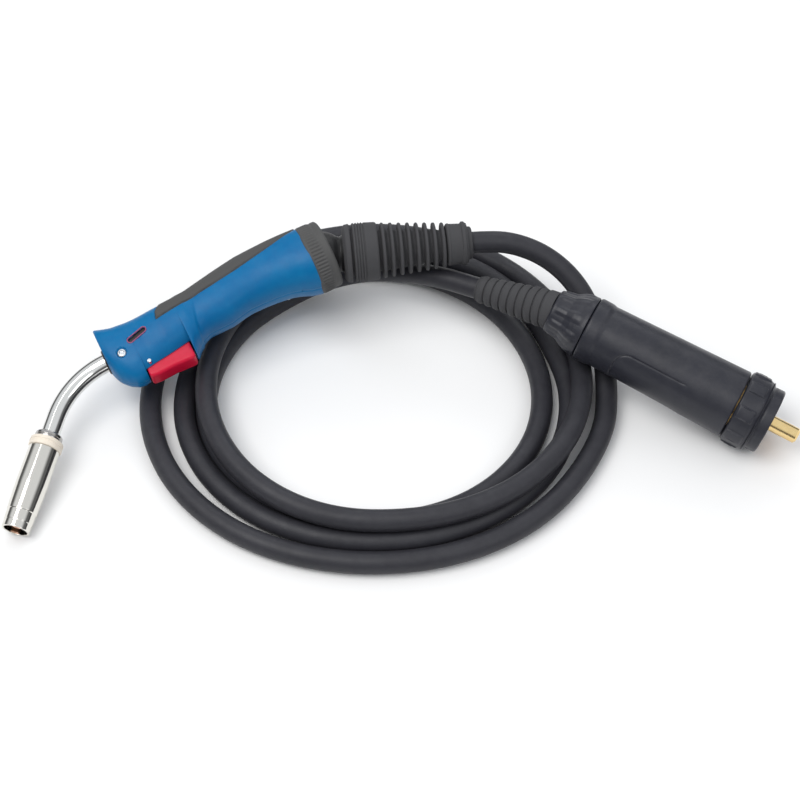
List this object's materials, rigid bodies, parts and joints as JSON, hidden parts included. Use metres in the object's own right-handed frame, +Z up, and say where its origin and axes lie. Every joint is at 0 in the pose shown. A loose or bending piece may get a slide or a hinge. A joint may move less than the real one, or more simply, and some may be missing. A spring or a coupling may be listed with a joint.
{
  "type": "welding torch",
  "caption": "Gas-shielded wire welding torch with swan neck, trigger handle, ball-jointed cable support and a coiled lead ending in a central connector.",
  "frame": {"origin": "under the middle of the torch without its free lead and connector, on the surface it lies on", "axes": "+Z up; +X from the nozzle end towards the cable support; the torch lies on its side and the connector end lies towards +X"},
  "size_m": [0.4913, 0.2859, 0.0839],
  "materials": {
    "chromed_tube": "polished",
    "copper": "satin",
    "liner_steel": "satin",
    "dark_chrome": "polished",
    "white_insulator": "matt",
    "brass": "satin",
    "nickel_nozzle": "polished",
    "grip_rubber": "matt",
    "blue_plastic": "satin",
    "screw_steel": "satin",
    "dark_plastic": "matt",
    "cable_rubber": "matt",
    "red_plastic": "satin",
    "spring_steel": "satin",
    "black_plastic": "matt",
    "ring_plastic": "matt",
    "support_rubber": "matt",
    "connector_plastic": "satin",
    "copper_ring": "satin"
  },
  "bodies": {
    "lead": {"joint_ball": "black_plastic", "support_collar": "support_rubber", "bellows": "support_rubber", "support_cap": "support_rubber", "support_lead": "cable_rubber", "lead_in": "cable_rubber", "lead_out": "cable_rubber", "lead_coil": "cable_rubber", "strain_relief": "support_rubber", "relief_lead": "cable_rubber", "rear_gland": "connector_plastic", "connector_body": "connector_plastic", "cable_crimp": "brass", "plug_core": "brass", "contact_sleeves": "black_plastic", "main_pin": "brass", "housing_screws": "screw_steel"},
    "seat": {"joint_seat": "black_plastic"},
    "handle": {"swan_neck": "chromed_tube", "neck_conductor": "copper", "wire_liner": "liner_steel", "neck_collar": "dark_chrome", "nozzle_insulator": "white_insulator", "gas_diffuser": "brass", "tip_holder": "brass", "contact_tip": "copper", "gas_nozzle": "nickel_nozzle", "grip_insert": "grip_rubber", "handle_shell_upper": "blue_plastic", "handle_shell_lower": "blue_plastic", "shell_screws": "screw_steel", "side_inlay": "dark_plastic", "neck_block": "brass", "handle_lead": "cable_rubber", "trigger_pin": "screw_steel", "trigger_spring": "spring_steel", "trigger_switch": "dark_plastic", "rear_ring": "ring_plastic"},
    "trigger": {"trigger": "red_plastic"},
    "plunger": {"switch_plunger": "dark_plastic"},
    "nut": {"connector_nut": "connector_plastic", "nut_thread": "copper_ring"},
    "upper_contact": {"contact_pin_upper": "brass"},
    "lower_contact": {"contact_pin_lower": "brass"}
  },
  "joints": [
    {"name": "ball_swing", "type": "hinge", "parent": "lead", "child": "seat", "pos_m": [0.047, 0.07855, 0.061], "axis": [0, 0, 1], "range_deg": [-38, 0]},
    {"name": "ball_lift", "type": "hinge", "parent": "seat", "child": "handle", "pos_m": [0.047, 0.07855, 0.061], "axis": [-0.4195, 0.9078, 0], "range_deg": [0, 14]},
    {"name": "trigger_press", "type": "hinge", "parent": "handle", "child": "trigger", "pos_m": [-0.0581, 0.00495, 0.03698], "axis": [-0.0793, -0.2052, 0.9755], "range_deg": [0, 5], "stiffness_Nm_per_rad": 0.6, "springref_deg": -8.59},
    {"name": "plunger_travel", "type": "slide", "parent": "handle", "child": "plunger", "axis": [-0.4367, 0.8868, 0.151], "range_m": [0, 0.0019]},
    {"name": "nut_spin", "type": "hinge", "parent": "lead", "child": "nut", "pos_m": [0.31514, -0.01956, 0.02473], "axis": [0.8771, -0.4411, -0.19], "continuous": true},
    {"name": "upper_contact_travel", "type": "slide", "parent": "lead", "child": "upper_contact", "axis": [-0.8771, 0.4411, 0.19], "range_m": [0, 0.003], "stiffness_N_per_m": 400, "springref_m": -0.002},
    {"name": "lower_contact_travel", "type": "slide", "parent": "lead", "child": "lower_contact", "axis": [-0.8771, 0.4411, 0.19], "range_m": [0, 0.003], "stiffness_N_per_m": 400, "springref_m": -0.002}
  ],
  "couplings": [
    {"joint": "plunger_travel", "follows": "trigger_press", "m_per_rad": 0.0215}
  ]
}
